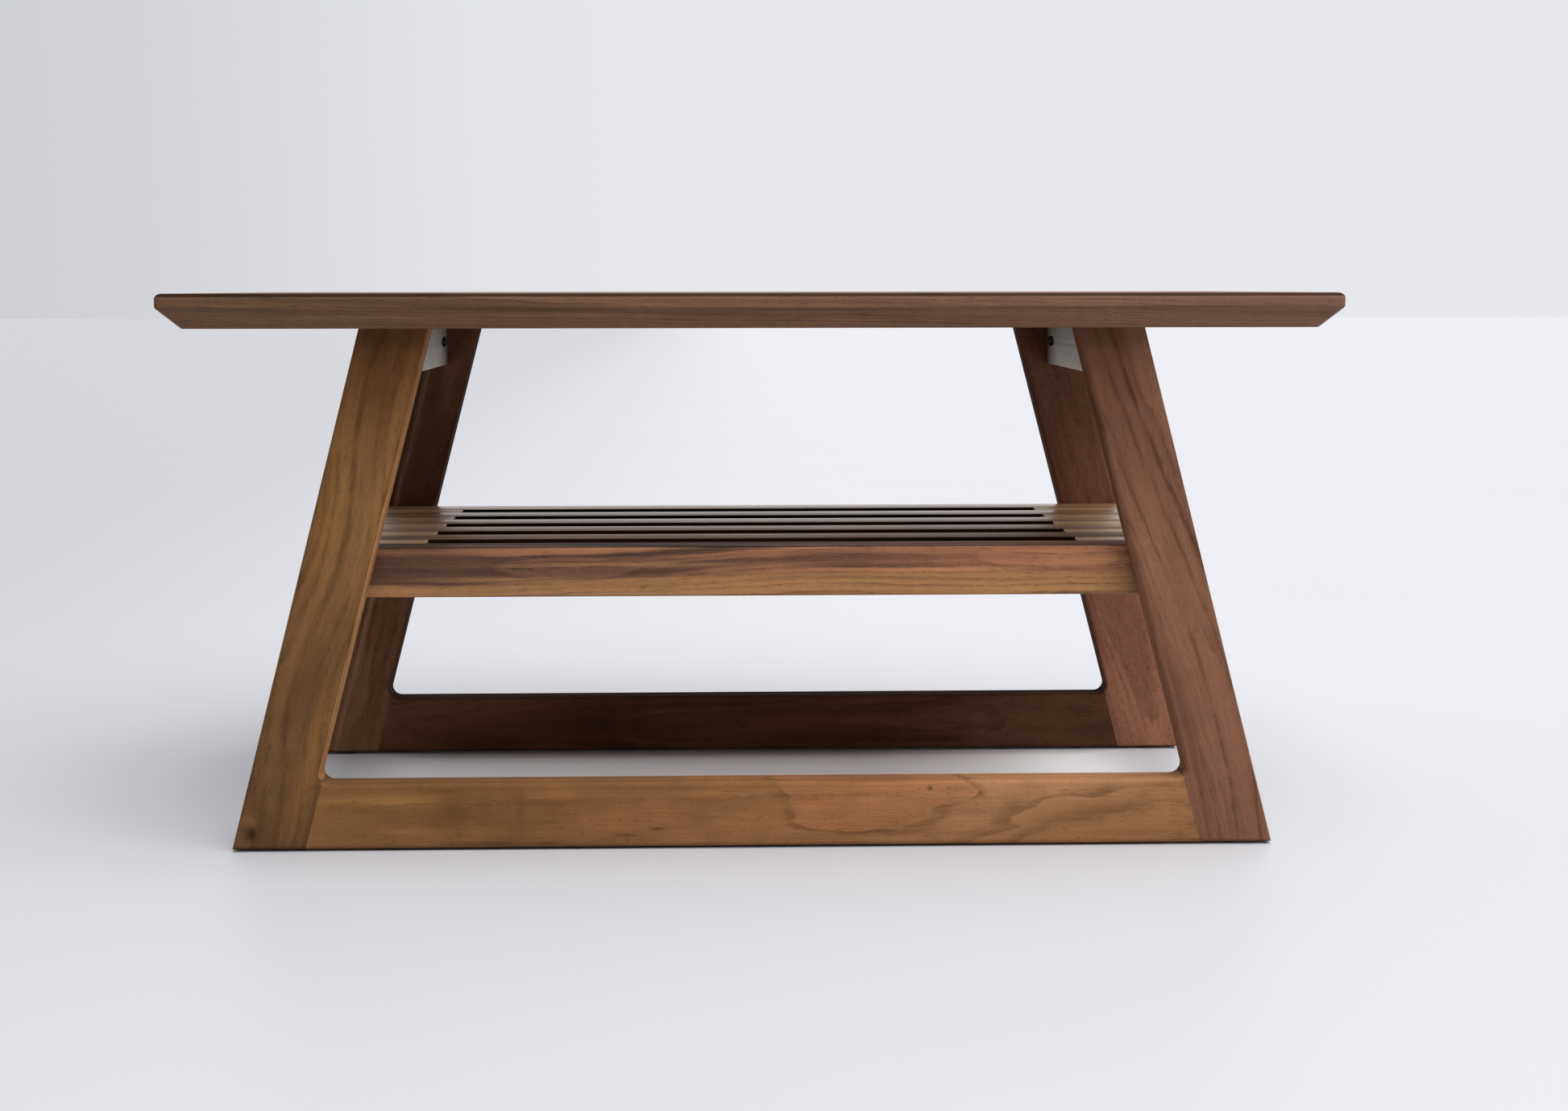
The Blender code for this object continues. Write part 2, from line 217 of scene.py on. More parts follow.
def lathe(profile, origin, direction, sides):
    """Closed bmesh turned round an axis, from (distance along, radius) pairs with both ends on it."""
    axis = axis_frame(direction)[0]
    start = Vector(origin)
    bm = bmesh.new()
    first = bm.verts.new(start + axis * profile[0][0])
    last = bm.verts.new(start + axis * profile[-1][0])
    rings = []
    for along, radius in profile[1:-1]:
        points = turned_ring(start, direction, along, plain(radius), sides)
        rings.append([bm.verts.new(p) for p in points])
    for i in range(sides):
        j = (i + 1) % sides
        bm.faces.new((first, rings[0][j], rings[0][i]))
        bm.faces.new((last, rings[-1][i], rings[-1][j]))
        for low, high in zip(rings, rings[1:]):
            bm.faces.new((low[i], low[j], high[j], high[i]))
    return bm


# -------------------- material tools

class Nodes:
    """Short names for the shader nodes that the materials are made of."""

    def __init__(self, owner):
        owner.use_nodes = True
        self.owner = owner
        self.tree = owner.node_tree
        self.shader = self.tree.nodes.get("Principled BSDF")

    def put(self, socket, value):
        if isinstance(value, bpy.types.NodeSocket):
            self.tree.links.new(value, socket)
        else:
            socket.default_value = value

    def add(self, kind, values, **settings):
        node = self.tree.nodes.new("ShaderNode" + kind)
        for key, value in settings.items():
            setattr(node, key, value)
        for key, value in values.items():
            self.put(node.inputs[key], value)
        return node

    def math(self, operation, *values, clamp=False):
        return self.add("Math", dict(enumerate(values)), operation=operation, use_clamp=clamp).outputs[0]

    def times(self, *values, clamp=False):
        return self.math("MULTIPLY", *values, clamp=clamp)

    def times_plus(self, value, factor, addend):
        return self.math("MULTIPLY_ADD", value, factor, addend)

    def vector(self, operation, *values):
        return self.add("VectorMath", dict(enumerate(values)), operation=operation).outputs[0]

    def noise(self, vector, scale=1.0, detail=2.0, roughness=0.5, distortion=0.0):
        values = {"Vector": vector, "Scale": scale, "Detail": detail}
        return self.add("TexNoise", values | {"Roughness": roughness, "Distortion": distortion})

    def smooth(self, value, low, high, start=0.0, end=1.0):
        values = {"Value": value, "From Min": low, "From Max": high, "To Min": start, "To Max": end}
        return self.add("MapRange", values, interpolation_type="SMOOTHSTEP").outputs[0]

    def mix(self, factor, a, b):
        return self.add("Mix", {0: factor, 6: a, 7: b}, data_type="RGBA").outputs[2]

    def combine(self, x, y, z):
        return self.add("CombineXYZ", {0: x, 1: y, 2: z}).outputs[0]

    def separate(self, vector):
        return self.add("SeparateXYZ", {0: vector}).outputs

    def normal(self):
        return self.separate(self.add("NewGeometry", {}).outputs["Normal"])

    def position(self):
        return self.separate(self.add("TexCoord", {}).outputs["Object"])

    def place(self, centre, turn):
        """Position in a board's own frame: X along the grain, Y through the thickness, Z across."""
        coordinates = self.add("TexCoord", {}).outputs["Object"]
        values = {"Vector": coordinates, "Location": centre, "Rotation": (0.0, turn, 0.0)}
        return self.add("Mapping", values, vector_type="TEXTURE").outputs[0]

    def bump(self, height, strength, distance):
        values = {"Height": height, "Strength": strength, "Distance": distance}
        self.put(self.shader.inputs["Normal"], self.add("Bump", values).outputs[0])

    def finish(self, colour, roughness, **values):
        self.put(self.shader.inputs["Base Color"], colour)
        self.put(self.shader.inputs["Roughness"], roughness)
        for key, value in values.items():
            self.put(self.shader.inputs[key.replace("_", " ")], value)
        return self.owner


def linear(value):
    """Amount of light from a screen value of 0 to 255."""
    return ((value / 255 + 0.055) / 1.055) ** 2.4 if value > 10 else value / 3294.6


def rgb(red, green, blue):
    """Colour from screen values of 0 to 255."""
    return (linear(red), linear(green), linear(blue), 1.0)


# -------------------- walnut

class Figure:
    """How one board was cut from the log, and its colours as screen values of 0 to 255."""

    def __init__(self, light, dark, line, **extra):
        self.light, self.dark, self.line = rgb(*light), rgb(*dark), rgb(*line)
        self.pith = (0.07, -0.006)  # log centre, through and across the board
        self.lean = (0.01, 0.0)  # drift of the log centre along the board
        self.spacing = 0.003
        self.wander = 0.02
        self.ring_strength = 0.5
        self.streak = 1.5
        self.mottle = (0.05, (75.0, 12.0, 22.0))
        self.gloss = 0.74
        self.specular = 0.03
        self.polish = 0.0  # how much smoother the wood gets where its tint is paler
        self.seed = 0.0
        self.planks = None  # (first edge, width) of boards glued side by side
        self.meander = ()  # (amplitude, length, phase) of the grain's sideways wander
        self.lines = ()  # (across, half width, strength) of dark lines that follow the grain
        self.loops = ()  # (along, across, half length, half width, strength, tint) of cathedral figure
        self.knots = ()  # (along, across, radius)
        self.patches = ()  # (along, across, half length, half width, strength, colour)
        self.sap = None  # (across at the middle, slope, softness, colour)
        self.__dict__.update(extra)


class Board(Nodes):
    """Node tree of one walnut board. All its features share the board's own coordinates."""

    def __init__(self, name, centre, turn, figure):
        super().__init__(bpy.data.materials.new(name))
        self.figure = figure
        self.turn = turn
        self.at = self.place(centre, turn)
        self.x, self.y, self.z = self.separate(self.at)
        self.plank_tone = 0.5
        if figure.planks:
            first, width = figure.planks
            count = self.times_plus(self.y, 1 / width, (centre[1] - first) / width)
            index = self.math("FLOOR", count)
            draw = self.add("TexWhiteNoise", {"W": index}, noise_dimensions="1D").outputs["Color"]
            slide, lift, self.plank_tone = self.separate(draw)
            self.y = self.times(self.math("SUBTRACT", self.math("FRACT", count), 0.5), width)
            self.z = self.times_plus(lift, 0.02, self.z)
            self.at = self.combine(self.times_plus(slide, 5.0, self.x), self.y, self.z)

    def speckle(self, scale, **values):
        offset = Vector((3.7, 1.9, 2.3)) * self.figure.seed
        return self.noise(self.vector("ADD", self.vector("MULTIPLY", self.at, scale), offset), **values)

    def spot(self, along, across, half_length, half_width, waver=0.0):
        """Soft oval: 1 in the middle, 0.37 at its half length and half width."""
        a = self.times(self.math("SUBTRACT", self.x, along), 1 / half_length)
        b = self.times(self.math("SUBTRACT", self.z, across), 1 / half_width)
        square = self.times_plus(a, a, self.times(b, b))
        if waver:
            square = self.times_plus(self.centred(self.ripple), waver, square)
        return self.math("EXPONENT", self.times(square, -1.0))

    def centred(self, value):
        return self.math("SUBTRACT", value, 0.5)

    def rings(self):
        """Distance from the log's centre, bent by the tree's wandering growth and its knots."""
        f = self.figure
        slow = self.separate(self.speckle((1.6, 7.0, 9.0), detail=1.5).outputs["Color"])
        wavy = self.separate(self.speckle((9.0, 40.0, 45.0), detail=2.0).outputs["Color"])
        self.cloud, self.ripple = slow[2], wavy[2]
        across = self.z
        for amplitude, length, phase in f.meander:
            turn = self.times_plus(self.x, 2 * math.pi / length, phase)
            across = self.times_plus(self.math("SINE", turn), -amplitude, across)
        self.across = self.times_plus(self.centred(wavy[1]), f.wander * 0.22, across)
        squares = []
        for part, pith, lean, i in ((self.y, f.pith[0], f.lean[0], 0), (across, f.pith[1], f.lean[1], 1)):
            offset = self.times_plus(self.x, lean, self.math("SUBTRACT", part, pith))
            offset = self.times_plus(self.centred(slow[i]), f.wander, offset)
            offset = self.times_plus(self.centred(wavy[i]), f.wander * 0.22, offset)
            squares.append(self.times(offset, offset))
        radius = self.math("SQRT", self.math("ADD", *squares))
        for along, across, size in f.knots:
            knot = self.spot(along, across, size * 3.5, size * 1.8)
            radius = self.times_plus(knot, size * 1.6, radius)
        broken = self.speckle((30.0, 110.0, 110.0), detail=2.0).outputs["Fac"]
        self.patchy = self.smooth(broken, 0.34, 0.6, 0.28, 1.0)
        feather = self.speckle((60.0, 260.0, 260.0), detail=2.0).outputs["Fac"]
        self.feather = self.centred(feather)
        return self.times_plus(self.feather, 0.0014, radius)

    def late_wood(self, radius):
        """Dark line at the end of each year's ring, of uneven width and strength."""
        f = self.figure
        even = self.times(radius, 1 / f.spacing)
        uneven = self.combine(self.times(even, 0.37), f.seed, 0.0)
        uneven = self.noise(uneven, detail=1.0).outputs["Fac"]
        phase = self.times_plus(uneven, 2.4, even)
        ring = self.math("FRACT", phase)
        year = self.math("ADD", self.math("FLOOR", phase), f.seed * 31.0)
        strength = self.add("TexWhiteNoise", {"W": year}, noise_dimensions="1D").outputs["Value"]
        rise = self.smooth(ring, 0.15, 0.92)
        fall = self.smooth(ring, 0.92, 1.0, 1.0, 0.0)
        fade = self.smooth(self.ripple, 0.3, 0.62, 0.25, 1.0)
        strength = self.times(self.times_plus(strength, 0.9, 0.1), fade)
        strength = self.times(strength, self.patchy)
        line = self.times(self.times(self.math("POWER", rise, 2.2), fall), strength)
        line = self.times(line, f.ring_strength)
        for across, half_width, amount in f.lines:
            offset = self.times(self.math("SUBTRACT", self.across, across), 1 / half_width)
            offset = self.times_plus(self.feather, 2.0, offset)
            near = self.times(self.times(offset, offset), -1.0)
            near = self.times(self.math("EXPONENT", near), self.times(self.patchy, amount))
            line = self.math("MAXIMUM", line, near)
        for along, across, half_length, half_width, amount, _ in f.loops:
            oval = self.spot(along, across, half_length, half_width, 1.9)
            edge = self.times(self.smooth(oval, 0.24, 0.368), self.smooth(oval, 0.37, 0.4, 1.0, 0.0))
            edge = self.times(edge, self.times(self.patchy, amount))
            line = self.math("MAXIMUM", line, edge)
        return line, rise

    def colours(self, radius, line):
        f = self.figure
        band = self.combine(self.times(self.x, 1.5), self.times(radius, 110.0), f.seed)
        band = self.noise(band, detail=3.0, roughness=0.55).outputs["Fac"]
        mixed = self.times_plus(self.centred(self.cloud), 0.9, band)
        mixed = self.times_plus(self.centred(self.ripple), 0.35, mixed)
        if f.planks:
            mixed = self.times_plus(self.centred(self.plank_tone), 0.45, mixed)
        tone = self.smooth(mixed, 0.5 - 0.34 / f.streak, 0.5 + 0.34 / f.streak)
        colour = self.mix(tone, f.dark, f.light)
        for along, across, half_length, half_width, strength, tint in f.patches:
            amount = self.spot(along, across, half_length, half_width, 1.2)
            amount = self.times(amount, strength, clamp=True)
            colour = self.mix(amount, colour, rgb(*tint))
        for along, across, half_length, half_width, _, tint in f.loops:
            inside = self.smooth(self.spot(along, across, half_length, half_width, 1.9), 0.37, 0.46)
            colour = self.mix(self.times(inside, 0.35), colour, rgb(*tint))
        if f.sap:
            across, slope, softness, sap_colour = f.sap
            edge = self.times_plus(self.x, -slope, self.math("SUBTRACT", self.across, across))
            edge = self.times_plus(self.centred(self.ripple), softness * 3.0, edge)
            edge = self.times_plus(self.feather, softness * 1.5, edge)
            colour = self.mix(self.smooth(edge, -softness, softness, 0.72, 0.0), colour, rgb(*sap_colour))
        return self.mix(line, colour, f.line), tone

    def end_grain(self):
        """1 where the saw cut across the fibres, which take more oil and look darker."""
        way = (math.cos(self.turn), 0.0, -math.sin(self.turn))
        normal = self.add("NewGeometry", {}).outputs["Normal"]
        along = self.add("VectorMath", {0: normal, 1: way}, operation="DOT_PRODUCT").outputs["Value"]
        return self.smooth(self.math("ABSOLUTE", along), 0.55, 0.9)

    def fibres(self, rise):
        f = self.figure
        fibre = self.noise(self.vector("MULTIPLY", self.at, (14.0, 900.0, 900.0)), detail=2.0, roughness=0.6)
        fibre = self.centred(fibre.outputs["Fac"])
        fleck = self.noise(self.vector("MULTIPLY", self.at, (55.0, 1300.0, 1300.0)), detail=1.0)
        fleck = self.smooth(fleck.outputs["Fac"], 0.66, 0.76)
        pore = self.noise(self.vector("MULTIPLY", self.at, (170.0, 2600.0, 2600.0)), detail=1.0)
        pore = self.smooth(self.times_plus(rise, 0.05, pore.outputs["Fac"]), 0.65, 0.72)
        amount, scale = f.mottle
        curl = self.centred(self.noise(self.vector("MULTIPLY", self.at, scale), detail=1.0).outputs["Fac"])
        shade = self.times_plus(fibre, 0.45, 1.0)
        shade = self.times_plus(curl, amount * 4, shade)
        shade = self.times_plus(fleck, -0.22, shade)
        shade = self.times(shade, self.times_plus(pore, -0.45, 1.0))
        return fibre, self.math("MAXIMUM", pore, self.times(fleck, 0.6)), shade


def slat_tint(n):
    """Sides of the slots nearly black with pooled stain. The tops get paler towards the back."""
    normal = n.normal()
    sideways = n.smooth(n.math("ABSOLUTE", normal[1]), 0.3, 0.7)
    depth = n.position()[1]
    half_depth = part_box("shelf_slat_6")[1].y
    inside = n.math("LESS_THAN", n.math("ABSOLUTE", depth), half_depth - EASED)
    walls = n.times_plus(n.times(sideways, inside), -0.97, 1.0)
    first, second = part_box("shelf_slat_1"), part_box("shelf_slat_2")
    pitch = second[0].y - first[0].y
    share = (first[1].y - first[0].y) / pitch
    across = n.math("FRACT", n.times_plus(depth, 1 / pitch, -first[0].y / pitch))
    worn = n.smooth(across, 0.0, share, SLAT_FRONT_TONE, SLAT_BACK_TONE)
    paler = n.smooth(depth, -half_depth, half_depth, NEAR_SLAT_TONE, FAR_SLAT_TONE)
    top = n.smooth(normal[2], 0.55, 0.9)
    tops = n.times_plus(n.math("SUBTRACT", n.times(worn, paler), 1.0), top, 1.0)
    return n.times(walls, tops)


def rim(n):
    """The bevel was planed paler than the rim above it, and the upper arris took more stain."""
    low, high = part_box("tabletop")
    height = n.position()[2]
    bevel = n.smooth(height, low.z + TOP_BEVEL - 0.0006, low.z + TOP_BEVEL + 0.0006, 1.12, 1.0)
    arris = n.smooth(height, high.z - 0.0034, high.z - 0.002, 1.0, 0.22)
    face = n.smooth(height, high.z - 0.0004, high.z - 0.0001, 0.0, 1.0)
    return n.times(bevel, n.math("MAXIMUM", arris, face))


def left_inner_side(n):
    """The left front leg's inner side shows paler, freshly sanded wood."""
    return n.smooth(n.normal()[0], 0.6, 0.92, 1.0, 2.4)


def right_inner_side(n):
    """The right front leg's inner side is only a little paler than its front."""
    return n.smooth(n.normal()[0], -0.92, -0.6, 1.35, 1.0)


def narrow_sides(n):
    """The back frame's sides, rubbed darker than its faces."""
    return n.smooth(n.math("ABSOLUTE", n.normal()[1]), 0.3, 0.9, 0.4, 1.0)


def walnut(name, centre, turn, figure, tint=None):
    """Oiled solid walnut. Its growth rings run right through, so every face shows its own cut."""
    n = Board(name, centre, turn, figure)
    radius = n.rings()
    line, rise = n.late_wood(radius)
    colour, tone = n.colours(radius, line)
    fibre, pore, shade = n.fibres(rise)
    for along, across, size in figure.knots:
        knot = n.spot(along, across, size, size * 0.75)
        shade = n.times(shade, n.times_plus(knot, -0.7, 1.0))
    shade = n.times(shade, n.times_plus(n.end_grain(), -0.32, 1.0))
    sheen = figure.specular
    if tint:
        stain = tint(n)
        shade = n.times(shade, stain)
        if sheen:
            sheen = n.times(n.math("MINIMUM", stain, 1.0), sheen)
    shaded = n.add("VectorMath", {0: colour, "Scale": shade}, operation="SCALE").outputs[0]
    gloss = n.times_plus(tone, -0.05, figure.gloss)
    gloss = n.times_plus(pore, 0.25, gloss)
    gloss = n.times_plus(fibre, 0.18, gloss)
    if figure.polish:
        gloss = n.times_plus(n.math("SUBTRACT", stain, 1.0), -figure.polish, gloss)
        gloss = n.math("MAXIMUM", gloss, 0.18)
    height = n.times_plus(pore, -1.0, n.times(fibre, 0.5))
    height = n.times_plus(line, 0.35, height)
    n.bump(height, 0.35, 0.00012)
    return n.finish(shaded, gloss, Specular_IOR_Level=sheen)


# -------------------- each board's figure

UMBER = (58, 36, 22)  # the darkest marks in the wood


def golden_figure():
    """Left front leg: golden grain that wanders round a small knot."""
    return Figure(
        (122, 88, 56), (90, 63, 40), (46, 29, 16), seed=1.0, pith=(0.05, 0.0035),
        ring_strength=0.4, meander=((0.007, 0.24, 3.665),), knots=((-0.205, 0.014, 0.006),),
        lines=(
            (0.0035, 0.0028, 0.46),
            (-0.013, 0.0022, 0.3),
            (0.017, 0.0026, 0.34),
        ),
        patches=(
            (0.22, 0.0, 0.105, 0.035, 0.8, (80, 46, 21)),
            (-0.075, 0.004, 0.035, 0.014, 0.4, (78, 50, 28)),
            (0.06, 0.012, 0.06, 0.012, 0.45, (146, 102, 56)),
            (-0.22, 0.0, 0.03, 0.05, 0.35, (84, 54, 32)),
            (0.1, -0.02, 0.1, 0.006, 0.45, (150, 106, 64)),
            (-0.13, -0.018, 0.06, 0.008, 0.4, (146, 102, 60)),
        ),
    )


def ruddy_figure():
    """Right front leg: redder, with three dark lines along it."""
    return Figure(
        (124, 87, 68), (96, 65, 50), (52, 31, 22), seed=2.0,
        meander=((0.02, 0.75, -0.6),), ring_strength=0.4, specular=0.0,
        lines=(
            (-0.0165, 0.002, 0.62),
            (-0.0055, 0.0018, 0.42),
            (0.0135, 0.0018, 0.4),
        ),
        patches=(
            (0.22, 0.01, 0.07, 0.03, 0.4, (102, 62, 43)),
            (0.03, 0.008, 0.1, 0.018, 0.42, (148, 105, 78)),
            (-0.21, 0.0, 0.05, 0.05, 0.3, (104, 70, 52)),
            (0.0, -0.016, 0.07, 0.006, 0.35, (146, 104, 76)),
        ),
    )


def rail_figure():
    """Front rail: pale and mottled, with cathedral loops and short dark marks."""
    return Figure(
        (145, 103, 67), (110, 76, 48), (66, 40, 23), seed=3.0,
        mottle=(0.085, (34.0, 12.0, 62.0)), ring_strength=0.6,
        knots=((0.141, 0.0187, 0.0022),),
        loops=(
            (0.095, 0.019, 0.075, 0.036, 0.55, (150, 96, 64)),
            (0.33, -0.035, 0.155, 0.05, 0.45, (132, 92, 58)),
            (0.315, -0.028, 0.1, 0.03, 0.35, (138, 97, 62)),
        ),
        patches=(
            (-0.38, 0.0, 0.2, 0.08, 0.5, (102, 72, 42)),
            (0.24, 0.01, 0.15, 0.05, 0.46, (184, 137, 101)),
            (0.02, -0.01, 0.16, 0.03, 0.32, (160, 112, 74)),
            (-0.29, 0.012, 0.05, 0.006, 0.35, (160, 114, 66)),
            (-0.14, 0.016, 0.05, 0.005, 0.35, (150, 104, 66)),
            (-0.26, -0.014, 0.05, 0.004, 0.35, (146, 104, 62)),
            (-0.11, -0.004, 0.04, 0.01, 0.3, (146, 96, 62)),
            (-0.22, -0.024, 0.03, 0.0018, 0.6, UMBER),
            (-0.167, -0.024, 0.012, 0.0015, 0.5, UMBER),
            (-0.104, -0.018, 0.01, 0.0015, 0.45, UMBER),
            (-0.079, -0.013, 0.006, 0.0015, 0.6, UMBER),
            (-0.243, 0.0, 0.016, 0.022, 0.35, (84, 56, 34)),
            (-0.217, 0.004, 0.006, 0.018, 0.3, (84, 56, 34)),
            (-0.188, 0.003, 0.004, 0.014, 0.3, (84, 56, 34)),
            (0.277, -0.001, 0.03, 0.008, 0.5, (86, 56, 34)),
            (0.305, -0.019, 0.03, 0.002, 0.4, UMBER),
            (0.096, 0.026, 0.05, 0.0025, 0.55, UMBER),
        ),
    )


def dusky_figure():
    """Back rail: dark and plain."""
    return Figure((104, 72, 52), (58, 36, 26), (32, 19, 13), seed=4.0, spacing=0.0024)


def smoked_figure():
    """Left back leg: a pale and a dark line run along one edge."""
    return Figure(
        (122, 88, 63), (82, 56, 40), (40, 26, 18), seed=4.2, spacing=0.0024,
        patches=(
            (-0.06, 0.01, 0.3, 0.0022, 0.65, (150, 112, 88)),
            (-0.06, 0.015, 0.3, 0.0022, 0.55, UMBER),
            (-0.16, 0.0, 0.1, 0.05, 0.4, (132, 94, 68)),
        ),
    )


def rippled_figure():
    """Right back leg: curly, and darker at one end."""
    return Figure(
        (146, 100, 78), (100, 65, 50), (54, 33, 25), seed=4.5, spacing=0.0024,
        mottle=(0.12, (210.0, 420.0, 420.0)),
        patches=((0.24, 0.0, 0.15, 0.08, 0.75, (72, 46, 34)),),
    )


def shelf_figure():
    """Slats behind the front one, which shine where they are worn."""
    return Figure(
        (168, 126, 88), (116, 82, 56), (74, 48, 33), seed=5.0, spacing=0.0028,
        streak=1.7, gloss=0.44, specular=0.5, polish=0.25,
        planks=(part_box("shelf_slat_1")[0].y - SLOT_HALF, SLAT_PITCH),
    )


def front_slat_figure():
    """Front slat: cathedral figure, with sapwood along one edge."""
    return Figure(
        (148, 98, 64), (76, 45, 29), (40, 23, 16), seed=5.0, spacing=0.0048,
        streak=3.0, ring_strength=0.85, pith=(0.03, -0.05), wander=0.03,
        meander=((0.002, 0.45, 1.0),), sap=(-0.0045, 0.018, 0.0022, (153, 110, 66)),
        gloss=0.55, specular=0.35, polish=0.12,
        loops=(
            (0.235, 0.01, 0.06, 0.009, 0.22, (168, 112, 78)),
            (-0.155, 0.004, 0.06, 0.01, 0.4, (128, 84, 56)),
        ),
        patches=(
            (0.22, 0.01, 0.16, 0.014, 0.4, (160, 102, 70)),
            (-0.3, 0.006, 0.12, 0.012, 0.45, (82, 52, 33)),
            (0.075, 0.013, 0.06, 0.004, 0.6, (92, 58, 40)),
            (0.245, 0.0005, 0.05, 0.0013, 0.55, UMBER),
            (0.15, 0.001, 0.06, 0.003, 0.5, (184, 130, 84)),
            (0.13, -0.011, 0.03, 0.0028, 0.55, (104, 68, 44)),
            (0.215, -0.015, 0.08, 0.0036, 0.55, (194, 146, 90)),
            (0.055, -0.004, 0.045, 0.0022, 0.55, (84, 52, 34)),
            (0.285, 0.009, 0.04, 0.004, 0.4, (178, 128, 78)),
            (-0.2, -0.006, 0.06, 0.0022, 0.45, (176, 130, 78)),
            (0.083, -0.0185, 0.035, 0.003, 0.7, UMBER),
            (-0.1, 0.006, 0.1, 0.0025, 0.5, (176, 128, 80)),
            (-0.02, -0.003, 0.09, 0.002, 0.5, UMBER),
            (0.1, 0.004, 0.06, 0.0016, 0.5, UMBER),
        ),
    )


def block_figure():
    """End blocks between the slats: the palest wood on the table."""
    return Figure(
        (206, 166, 120), (158, 116, 80), (100, 66, 44), seed=7.0, spacing=0.0032,
        gloss=0.42, specular=0.5, planks=(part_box("shelf_slat_1")[0].y - SLOT_HALF, SLAT_PITCH),
    )


def bore_figure():
    """Walls of the screw holes, nearly black."""
    return Figure((36, 25, 18), (24, 16, 11), (14, 9, 6), seed=8.0, gloss=0.85, specular=0.1)


def top_figure():
    """Tabletop: browner to the left and redder to the right."""
    return Figure(
        (112, 79, 57), (78, 51, 35), (44, 26, 18), seed=6.0, spacing=0.0036,
        pith=(0.0, -0.05), lean=(0.004, 0.035), gloss=0.6, specular=0.2,
        planks=(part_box("tabletop")[0].y, TOP_BOARD), streak=1.8,
        patches=(
            (-0.46, 0.0, 0.34, 0.5, 0.43, (90, 64, 40)),
            (0.46, 0.0, 0.3, 0.5, 0.45, (124, 88, 73)),
            (-0.3, -0.002, 0.06, 0.0014, 0.4, (130, 98, 72)),
            (0.3, 0.006, 0.1, 0.0014, 0.45, UMBER),
            (0.05, 0.004, 0.12, 0.0014, 0.4, UMBER),
            (-0.12, 0.0, 0.08, 0.0018, 0.35, (134, 100, 76)),
        ),
    )


# -------------------- other materials

def paint(name):
    """Brushed off-white paint, duller near the top and towards the back end of the rails."""
    n = Nodes(bpy.data.materials.new(name))
    place = n.place((0.0, 0.0, 0.0), 0.0)
    strokes = n.noise(n.vector("MULTIPLY", place, (900.0, 22.0, 900.0)), detail=3.0, roughness=0.6)
    strokes = strokes.outputs["Fac"]
    cloud = n.noise(n.vector("MULTIPLY", place, (30.0, 12.0, 30.0)), detail=3.0).outputs["Fac"]
    speck = n.noise(place, scale=420.0, detail=1.0).outputs["Fac"]
    colour = n.mix(n.smooth(cloud, 0.3, 0.7), rgb(187, 180, 165), rgb(199, 192, 178))
    dust = n.times(n.smooth(speck, 0.66, 0.78), 0.12)
    colour = n.mix(dust, colour, rgb(150, 140, 125))
    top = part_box("left_top_rail")[1].z
    _, depth, height = n.position()
    shade = n.smooth(height, top - 0.05, top - 0.006, 0.0, 0.7)
    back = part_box("left_top_rail")[1].y
    shade = n.math("MAXIMUM", shade, n.smooth(depth, back - 0.11, back, 0.0, 0.72))
    colour = n.mix(shade, colour, rgb(88, 78, 68))
    n.bump(n.times_plus(speck, 0.3, strokes), 0.4, 0.00015)
    return n.finish(colour, n.smooth(strokes, 0.2, 0.8, 0.45, 0.62))


def screw_steel(name):
    """Blackened steel with fine turning marks and dull patches."""
    n = Nodes(bpy.data.materials.new(name))
    place = n.place((0.0, 0.0, 0.0), 0.0)
    marks = n.noise(place, scale=2600.0, detail=2.0).outputs["Fac"]
    dull = n.noise(place, scale=320.0, detail=3.0).outputs["Fac"]
    colour = n.mix(n.smooth(dull, 0.35, 0.7), rgb(66, 62, 58), rgb(44, 40, 36))
    n.bump(marks, 0.15, 0.00005)
    return n.finish(colour, n.smooth(dull, 0.3, 0.75, 0.22, 0.48), Metallic=1.0)


def beech(name):
    """Bare beech, for the dowels and loose tenons."""
    n = Nodes(bpy.data.materials.new(name))
    place = n.place((0.0, 0.0, 0.0), 0.0)
    fleck = n.noise(n.vector("MULTIPLY", place, (300.0, 60.0, 900.0)), detail=2.0).outputs["Fac"]
    cloud = n.noise(place, scale=60.0, detail=3.0).outputs["Fac"]
    colour = n.mix(n.smooth(cloud, 0.3, 0.7), rgb(206, 170, 126), rgb(222, 190, 148))
    colour = n.mix(n.smooth(fleck, 0.58, 0.72), colour, rgb(170, 128, 88))
    n.bump(fleck, 0.2, 0.0001)
    return n.finish(colour, n.smooth(fleck, 0.3, 0.7, 0.55, 0.7))


def felt(name):
    """Dark pressed felt, with loose fibres in its colour and bump."""
    n = Nodes(bpy.data.materials.new(name))
    place = n.place((0.0, 0.0, 0.0), 0.0)
    hair = n.noise(place, scale=2400.0, detail=4.0, roughness=0.7, distortion=1.5).outputs["Fac"]
    cloud = n.noise(place, scale=180.0, detail=2.0).outputs["Fac"]
    colour = n.mix(n.smooth(hair, 0.35, 0.7), rgb(38, 34, 31), rgb(84, 76, 69))
    colour = n.mix(n.times(cloud, 0.4), colour, rgb(52, 46, 42))
    n.bump(hair, 0.8, 0.0003)
    return n.finish(colour, n.smooth(hair, 0.3, 0.7, 0.85, 1.0), Sheen_Weight=0.5, Sheen_Roughness=0.5)


# -------------------- frames

